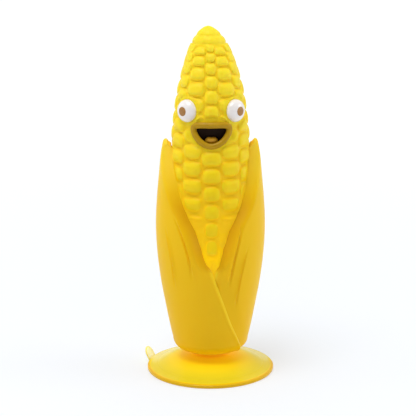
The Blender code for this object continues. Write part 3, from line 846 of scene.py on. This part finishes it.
# Streaks about 2 mm wide and 30 mm long
stretched = add("Mapping", {"Vector": coords, "Scale": (500.0, 500.0, 33.0)})
streaks = add("TexNoise", {"Vector": stretched, "Scale": 1.0, "Detail": 2.0})
streak_share = add("MapRange", {
    "Value": streaks, "From Min": 0.35, "From Max": 0.7, "To Max": 0.22})
# Each layer of colour is mixed over the ones before it: painted light by height and at the
# tips, the streaks, a painted highlight on the edges and painted shade beside the V
colour = linear("f8c308")
for share, code in ((up, "f1c410"), (painted_tip_highlight, "f9d63a"), (streak_share, "f6cb1c"),
                    (painted_edge_highlight, "ffd924"), (v_painted_shade, "d89c00")):
    colour = add("Mix", {0: share, 6: colour, 7: linear(code)}, data_type="RGBA")
# The same orange peel as on the cob, with the streaks over it
peel = add("TexNoise", {"Vector": coords, "Scale": 1100.0, "Detail": 1.0})
peel_bump = add("Bump", {"Height": peel, "Strength": 0.2, "Distance": 0.05 * MM})
streak_bump = add("Bump", {
    "Height": streaks, "Strength": 0.25, "Distance": 0.15 * MM, "Normal": peel_bump})
satin = add("MapRange", {"Value": streaks, "To Min": 0.36, "To Max": 0.48})
set_inputs(shader, {
    "Base Color": colour, "Roughness": satin, "IOR": 1.5, "Specular IOR Level": 0.13,
    "Subsurface Weight": 0.25, "Subsurface Radius": (1.0, 0.65, 0.1),
    "Subsurface Scale": 1.5 * MM, "Normal": streak_bump})
print("husk finish has", len(husk_vinyl.node_tree.nodes), "nodes")

# %% Build both leaves


def build_leaf(name, middle, cad_node):
    """One husk leaf. It runs from its under edge, which the other leaf covers, to its over edge."""
    rows = leaf_rows()
    bm = bmesh.new()
    bmesh.ops.create_grid(bm, x_segments=LEAF_COLUMNS, y_segments=len(rows) - 1, size=1)
    bmesh.ops.solidify(bm, geom=bm.faces[:], thickness=-1)
    edge = bm.verts.layers.float.new("edge")
    v_painted_shade = bm.verts.layers.float.new("v_painted_shade")
    for vert in bm.verts:
        row = rows[round((vert.co.y + 1) / 2 * (len(rows) - 1))]
        share = (vert.co.x + 1) / 2
        turn, radius, z = leaf_point(row, gather_at_ends(share), abs(vert.co.z) > 0.5)
        # Below the crossing the edges get a painted highlight
        at_edge = 1 - smoothstep(min(share, 1 - share) / 0.09)
        vert[edge] = 0.95 * at_edge * (1 - ramp(z - CROSS_Z, 0, 4))
        # Beside the V the yellow is deepened, as painted shade
        to_v = min(leaf_half_width(z, True) - turn, turn + leaf_half_width(z, False)) * radius
        beside = (1 - smoothstep(to_v / V_SHADE)) * ramp(z - CROSS_Z, -1, 2)
        vert[v_painted_shade] = 0.8 * beside * ramp(z, 92, 78)
        vert.co = around(middle + turn, radius, z)
    bmesh.ops.recalc_face_normals(bm, faces=bm.faces)
    leaf = new_piece(name, bm, husk_vinyl, 60)
    dress(leaf, cad_node)
    print(name, "has", triangle_count(leaf), "triangles")


build_leaf("husk_left", radians(-90), "husk_leaf_left")
build_leaf("husk_right", radians(90), "husk_leaf_right")

# %% [markdown]
# ## Eyes
#
# The eyes are hard glossy balls, flattened like a lens and pressed into the cob. A sphere with
# enough rings gives a clean highlight. The pupil is a separate thin lens let into the crown, as
# a print on a curved ball would be hard to place well.
#
# The finishes of the eyes and the mouth are plain ones, but none is quite even. One function
# makes all five: a soft noise shifts the colour a little, and where asked the roughness too.

# %% Moulded eyes and enamel pupils


def mottled_finish(name, scale, detail, dark, light, inputs, roughness=None, bump=None):
    """A finish in patches of a dark and a light colour. The scale is how many patches lie in a
    metre, and the inputs are the shader's other settings."""
    made, add, shader, coords = new_material(name)
    mottle = add("TexNoise", {"Vector": coords, "Scale": scale, "Detail": detail})
    inputs["Base Color"] = add("Mix", {
        0: mottle, 6: linear(dark), 7: linear(light)}, data_type="RGBA")
    if roughness:
        low, high = roughness
        inputs["Roughness"] = add("MapRange", {"Value": mottle, "To Min": low, "To Max": high})
    if bump:
        strength, distance = bump
        inputs["Normal"] = add("Bump", {
            "Height": mottle, "Strength": strength, "Distance": distance})
    set_inputs(shader, inputs)
    print(name, "has", len(made.node_tree.nodes), "nodes")
    return made


# ABS from a polished mould has a hard, clear highlight. Its faint clouds are about 4 mm wide.
eye_abs = mottled_finish("moulded_abs_white", 260.0, 2.0, "eee7e4", "f5f0ed", {
    "IOR": 1.53, "Coat Weight": 0.3, "Coat Roughness": 0.08}, roughness=(0.14, 0.22))
# Enamel is glossy too, but brush marks about 1 mm wide leave it a little duller
pupil_enamel = mottled_finish("brown_enamel", 900.0, 3.0, "8f5f20", "b5803a", {"IOR": 1.5},
                              roughness=(0.25, 0.4))

# %% Eyes and pupils
PUPIL_RADIUS, PUPIL_SINK = 2.1 * MM, 0.05 * MM
DISH_DEPTH = 0.25 * MM


def on_eye_axis(side, distance, size):
    """Places a shape on an eye's axis, its Z pointing out: -1 is the left eye, 1 the right."""
    turn = Matrix.Rotation(side * EYE_AZIMUTH, 4, "Z") @ Matrix.Rotation(radians(90), 4, "X")
    place = Matrix.Translation(around(side * EYE_AZIMUTH, distance, EYE_Z))
    return place @ turn @ Matrix.Diagonal((*size, 1))


def new_ball(name, finish, segments, rings, matrix, dent=lambda point: 0.0):
    """A ball of radius 1, pressed in on its upper side and then put in place by a matrix."""
    bm = bmesh.new()
    bmesh.ops.create_uvsphere(bm, u_segments=segments, v_segments=rings, radius=1)
    for vert in bm.verts:
        vert.co.z -= dent(vert.co)
    bmesh.ops.transform(bm, verts=bm.verts, matrix=matrix)
    return new_piece(name, bm, finish, 180)


def dish(point):
    """A shallow dish in the crown of an eye, which takes the pupil."""
    inside = PUPIL_RADIUS - hypot(point.x, point.y) * EYE_RADIUS
    return DISH_DEPTH / EYE_HALF_DEPTH * smoothstep(inside / DISH_DEPTH) * (point.z > 0)


drop = EYE_HALF_DEPTH * (1 - sqrt(1 - (PUPIL_RADIUS / EYE_RADIUS) ** 2)) + PUPIL_SINK
for side, word in ((-1, "left"), (1, "right")):
    place = on_eye_axis(side, EYE_CENTRE, (EYE_RADIUS, EYE_RADIUS, EYE_HALF_DEPTH))
    dress(new_ball("eyeball_" + word, eye_abs, 64, 40, place, dish), "eye_" + word)
    place = on_eye_axis(side, EYE_CENTRE + EYE_HALF_DEPTH - drop,
                        (PUPIL_RADIUS, PUPIL_RADIUS, drop))
    dress(new_ball("pupil_disc_" + word, pupil_enamel, 40, 20, place), "pupil_" + word)
print("pupils are", round(2 * PUPIL_RADIUS / MM, 1), "mm wide")

# %% [markdown]
# ## Mouth
#
# The mouth is a half-round smile, made from an oval with raised corners: a round lip in darker
# paint, a dark bowl behind it, and a small tongue that lies in the bowl. The lip is swept along
# the outline, and the bowl is a block of the same outline, hollowed from the front.

# %% Paint for the mouth
# Brushed paint with a low sheen, in strokes about 2 mm wide
lip_paint = mottled_finish("olive_gold_paint_lip", 500.0, 3.0, "a67e06", "c0950c", {
    "IOR": 1.5, "Specular IOR Level": 0.22}, roughness=(0.3, 0.45))
# Matt paint throws almost nothing back. Its dark brown is also painted shade, so the bowl looks
# deep. Its patches are 2.5 mm wide.
mouth_paint_and_shade = mottled_finish("dark_brown_paint_and_shade", 400.0, 2.0, "221002", "331c06", {
    "IOR": 1.5, "Roughness": 0.65, "Specular IOR Level": 0.2})
# Thick glossy paint, with faint ripples 1.4 mm apart where it ran
tongue_paint = mottled_finish("gold_paint_tongue", 700.0, 2.0, "dd9c14", "efb92c", {
    "IOR": 1.5, "Roughness": 0.35}, bump=(0.3, 0.1 * MM))

# %% Outline and tools of the mouth
MOUTH_RISE, MOUTH_DROP = 4.0 * MM, 5.6 * MM
MOUTH_CORNER_LIFT = 2.2 * MM
LIP_RADIUS, LIP_SURFACE = 1.4 * MM, 17.2 * MM


def smile(grow, count=96):
    """The mouth's outline as (x, z), moved out by a distance from the middle of the lip."""
    line = []
    for i in range(count):
        angle = tau * i / count
        rise = (MOUTH_RISE if sin(angle) > 0 else MOUTH_DROP) * sin(angle)
        rise += MOUTH_CORNER_LIFT * cos(angle) ** 2
        line.append(Vector((MOUTH_HALF_WIDTH * cos(angle), MOUTH_Z + rise)))
    grown = []
    for i, point in enumerate(line):
        along = (line[(i + 1) % count] - line[i - 1]).normalized()
        grown.append(point + grow * Vector((along.y, -along.x)))
    return grown


def lip_depth(x):
    return -sqrt(LIP_SURFACE**2 - x**2)


def extruded_verts(bm, faces):
    made = bmesh.ops.extrude_face_region(bm, geom=faces)["geom"]
    return [item for item in made if isinstance(item, bmesh.types.BMVert)]


def smile_block(grow, front, back):
    """A solid with the mouth's outline. Its front is a function of x, and its back is flat."""
    bm = bmesh.new()
    face = bm.faces.new([bm.verts.new((p.x, front(p.x), p.y)) for p in smile(grow)])
    for vert in extruded_verts(bm, [face]):
        vert.co.y = back
    bmesh.ops.triangulate(bm, faces=[face for face in bm.faces if len(face.verts) > 4])
    bmesh.ops.recalc_face_normals(bm, faces=bm.faces)
    return bm


def combine(piece, operation, bm, sharp_angle=50):
    """Cuts a shape out of a piece or joins one to it, for good, and removes the shape."""
    shape = new_piece("shape", bm, piece.data.materials[0], sharp_angle)
    boolean = piece.modifiers.new("combine", "BOOLEAN")
    boolean.operation, boolean.object, boolean.solver = operation, shape, "EXACT"
    apply_modifiers(piece)
    bpy.data.objects.remove(shape)


print("the mouth's outline has", len(smile(0)), "points")

# %% Lip, lining and tongue
POCKET_BACK_Y = -10.9 * MM
LINING_BACK_Y = POCKET_BACK_Y - GAP
BOWL_BACK_Y = LINING_BACK_Y - 0.8 * MM
LINING_OVERLAP = 1.1 * MM
CUT_FRONT_Y = -25 * MM  # well in front of the cob
TONGUE_PLACE = Vector((0.0, -14.2 * MM, 113.2 * MM))
TONGUE_SIZE = Vector((3.0 * MM, 1.7 * MM, 1.7 * MM))


def build_lip():
    curve = bpy.data.curves.new("lip", "CURVE")
    curve.dimensions = "3D"
    curve.bevel_depth = LIP_RADIUS
    curve.bevel_resolution = 8
    outline = smile(0)
    spline = curve.splines.new("POLY")
    spline.points.add(len(outline) - 1)
    spline.use_cyclic_u = True
    for point, place in zip(spline.points, outline):
        point.co = (place.x, lip_depth(place.x), place.y, 1)
    curve.materials.append(lip_paint)
    lip = bpy.data.objects.new("lip", curve)
    bpy.context.scene.collection.objects.link(lip)
    dress(lip, "lip_ring")


build_lip()

pocket = smile_block(LIP_RADIUS - 0.5 * MM, lambda x: CUT_FRONT_Y, POCKET_BACK_Y)
combine(cob, "DIFFERENCE", pocket)
block = smile_block(LIP_RADIUS - 0.7 * MM, lambda x: lip_depth(x) + LIP_RADIUS, LINING_BACK_Y)
lining = new_piece("mouth_bowl", block, mouth_paint_and_shade)
combine(lining, "DIFFERENCE",
        smile_block(LINING_OVERLAP - LIP_RADIUS, lambda x: CUT_FRONT_Y, BOWL_BACK_Y))
dress(lining, "mouth_lining")



def furrow(point):
    """A shallow furrow along the middle of the tongue."""
    return 0.18 * bell(point.x / 0.25) * max(0.0, point.z)


tongue = new_ball("tongue_pad", tongue_paint, 32, 20,
                  Matrix.LocRotScale(TONGUE_PLACE, None, TONGUE_SIZE), furrow)
dress(tongue, "tongue")
print("mouth is", round(2 * (MOUTH_HALF_WIDTH + LIP_RADIUS) / MM, 1), "mm wide")

# %% [markdown]
# ## Suction cup
#
# The cup is clear soft PVC tinted yellow. It is turned about one axis, so a spin of half its
# section makes it: a mushroom head that locks into the cob, a neck, a thin skirt that is hollow
# below, and a flat rim. Clear PVC has an IOR near 1.5. The tint shows more strongly where light
# passes through more of it, at the neck and along the rim.

# %% Clear tinted vinyl for the cup
cup_vinyl, add, shader, coords = new_material("clear_yellow_soft_pvc")
depth = add("Attribute", attribute_name="depth").outputs["Fac"]
height = add("SeparateXYZ", {"Vector": coords}).outputs["Z"]
tint = add("ValToRGB", {"Fac": depth})
tint.color_ramp.elements[0].color = linear("ebe8a0")
tint.color_ramp.elements[1].color = linear("dd9c06")
for position, code in ((0.25, "e7d222"), (0.6, "f0cc08")):
    tint.color_ramp.elements.new(position).color = linear(code)
# The pigment flowed into the mould in clouds about 6 mm wide
flow = add("TexNoise", {"Vector": coords, "Scale": 160.0, "Detail": 2.0})
flow_share = add("MapRange", {"Value": flow, "To Max": 0.25})
colour = add("Mix", {0: flow_share, 6: tint, 7: linear("f4d820")}, data_type="RGBA")
flow_bump = add("Bump", {"Height": flow, "Strength": 0.15, "Distance": 0.2 * MM})
opacity = add("MapRange", {"Value": depth, "From Max": 0.3, "To Min": 0.5, "To Max": 0.95})
# An emission paints light into the neck and the skirt near it, where the body's shade falls,
neck_painted_light = add("MapRange", {
    "Value": height, "From Min": 3.5 * MM, "From Max": 7.0 * MM, "To Min": 0.06, "To Max": 0.34})
# and into the palest parts of the skirt and the tab
pale_painted_light = add("MapRange", {"Value": depth, "From Max": 0.25, "To Min": 0.22, "To Max": 0.0})
glow = add("Math", {0: neck_painted_light, 1: pale_painted_light}, operation="ADD")
# The surface is duller near the neck
satin = add("MapRange", {
    "Value": height, "From Min": 2.2 * MM, "From Max": 6.0 * MM, "To Min": 0.24, "To Max": 0.5})
set_inputs(shader, {
    "Base Color": colour, "Roughness": satin, "IOR": 1.5, "Specular IOR Level": 0.14,
    "Alpha": opacity, "Emission Color": colour, "Emission Strength": glow, "Normal": flow_bump})
print("cup finish has", len(cup_vinyl.node_tree.nodes), "nodes")

# %% Spin the cup and add its pull tab
HEAD_RADIUS, HEAD_Z, HEAD_RIM, HEAD_TOP_Z = 8.6, 13.6, 1.3, 19.0
HEAD_TOP_RADIUS, NECK_RADIUS, SHOULDER_Z = 4.4, 6.6, 8.0
# (radius, height) in millimetres, from the top of the head down the outside and back below
CUP_SECTION = [
    (0, HEAD_TOP_Z), (HEAD_TOP_RADIUS, HEAD_TOP_Z), (HEAD_RADIUS, HEAD_Z + HEAD_RIM),
    (HEAD_RADIUS, HEAD_Z), (NECK_RADIUS, HEAD_Z), (NECK_RADIUS, SHOULDER_Z + 0.6), (7.2, 7.6),
    (9.0, 7.1), (11.5, 6.7), (14.0, 6.2), (17.0, 5.5), (20.0, 4.6), (22.5, 3.7), (25.0, 2.8),
    (27.0, 2.15), (28.6, 1.8), (29.6, 1.72), (30.1, 1.65), (30.4, 1.35), (30.4, 0.3),
    (30.25, 0.08), (30.0, 0.0), (27.4, 0.0), (24.0, 1.1), (19.0, 2.8), (12.0, 4.7), (0, 5.4)]
SPIN_STEPS = 128
TAB_WIDTH, TAB_LENGTH, TAB_THICKNESS = 7.6 * MM, 6.9 * MM, 0.8 * MM
TAB_CUT, TAB_BEVEL = 1.9 * MM, 0.3 * MM
TAB_ROOT, TAB_ROOT_Z = 29.8 * MM, 0.5 * MM
TAB_AZIMUTH, TAB_TILT = radians(-110), radians(62)
TAB_PLACE = (Matrix.Rotation(TAB_AZIMUTH - radians(90), 4, "Z")
             @ Matrix.Translation((TAB_ROOT, 0, TAB_ROOT_Z)) @ Matrix.Rotation(-TAB_TILT, 4, "Y"))


def spun_cup():
    bm = bmesh.new()
    verts = [bm.verts.new((radius * MM, 0, z * MM)) for radius, z in CUP_SECTION]
    edges = [bm.edges.new(pair) for pair in zip(verts, verts[1:])]
    bmesh.ops.spin(bm, geom=verts + edges, cent=(0, 0, 0), axis=(0, 0, 1), angle=tau,
                   steps=SPIN_STEPS, use_merge=True)
    bmesh.ops.remove_doubles(bm, verts=bm.verts, dist=0.01 * MM)
    bmesh.ops.recalc_face_normals(bm, faces=bm.faces)
    return bm


def pull_tab():
    """A flat tab with a round end and soft edges. Its root lies inside the rim."""
    half = TAB_WIDTH / 2
    bm = bmesh.new()
    bmesh.ops.create_circle(bm, cap_ends=True, segments=48, radius=half)
    for vert in bm.verts:
        vert.co.x = TAB_LENGTH - half + vert.co.x if vert.co.x > -0.01 * MM else 0.0
        vert.co.z = -TAB_THICKNESS / 2
    bmesh.ops.remove_doubles(bm, verts=bm.verts, dist=0.01 * MM)
    for vert in extruded_verts(bm, bm.faces[:]):
        vert.co.z = TAB_THICKNESS / 2
    # A cut across the root keeps the rim's deep tint out of the tab's faces
    bmesh.ops.bisect_plane(bm, geom=bm.verts[:] + bm.edges[:] + bm.faces[:],
                           plane_co=(TAB_CUT, 0, 0), plane_no=(1, 0, 0))
    bmesh.ops.recalc_face_normals(bm, faces=bm.faces)
    rims = [edge for edge in bm.edges if edge.calc_face_angle(0) > radians(60)
            and max(vert.co.x for vert in edge.verts) > 0.1 * MM]
    bmesh.ops.bevel(bm, geom=rims, offset=TAB_BEVEL, offset_type="OFFSET", segments=3,
                    profile=0.5, affect="EDGES", material=-1)
    bmesh.ops.transform(bm, matrix=TAB_PLACE, verts=bm.verts)
    return bm


cup = new_piece("clear_cup", spun_cup(), cup_vinyl, 40)
combine(cup, "UNION", pull_tab(), 40)
print("cup:", triangle_count(cup), "triangles")

# %% Store the depth of the tint
TAB_ABOVE_Z, TAB_OUTSIDE = 1.9 * MM, 27.5 * MM  # where the tab is clear of the rim


def store_depth(mesh):
    """Stores how deep the tint looks: most in the rim and the neck, least in the tab."""
    depth = mesh.attributes.new("depth", "FLOAT", "POINT")
    for vert, item in zip(mesh.vertices, depth.data):
        radius = hypot(vert.co.x, vert.co.y)
        skirt = 0.25 + 0.45 * ramp(radius, 26, 12) + 0.3 * ramp(radius, 9.5, 7)
        rim = 0.85 * ramp(radius, 29, 29.5) * ramp(vert.co.z, 1.9, 1.8)
        # The back of the skirt and of the rim are paler: painted light, for the bright room seen
        # through and reflected in the clear vinyl there
        skirt *= 1 - 0.6 * ramp(vert.co.y, -3, 11) * ramp(radius, 14, 22)
        rim *= 1 - 0.85 * ramp(vert.co.y, 1, 9)
        item.value = max(skirt, rim)
        if vert.co.z > TAB_ABOVE_Z and radius > TAB_OUTSIDE:
            # The tab is clearest in the middle of its flat faces
            in_tab = TAB_PLACE.inverted() @ vert.co
            item.value = 0.0 if abs(in_tab.z) > 0.49 * TAB_THICKNESS else 0.2


store_depth(cup.data)
dress(cup, "suction_cup")
print("tint depths:", len(cup.data.attributes["depth"].data))
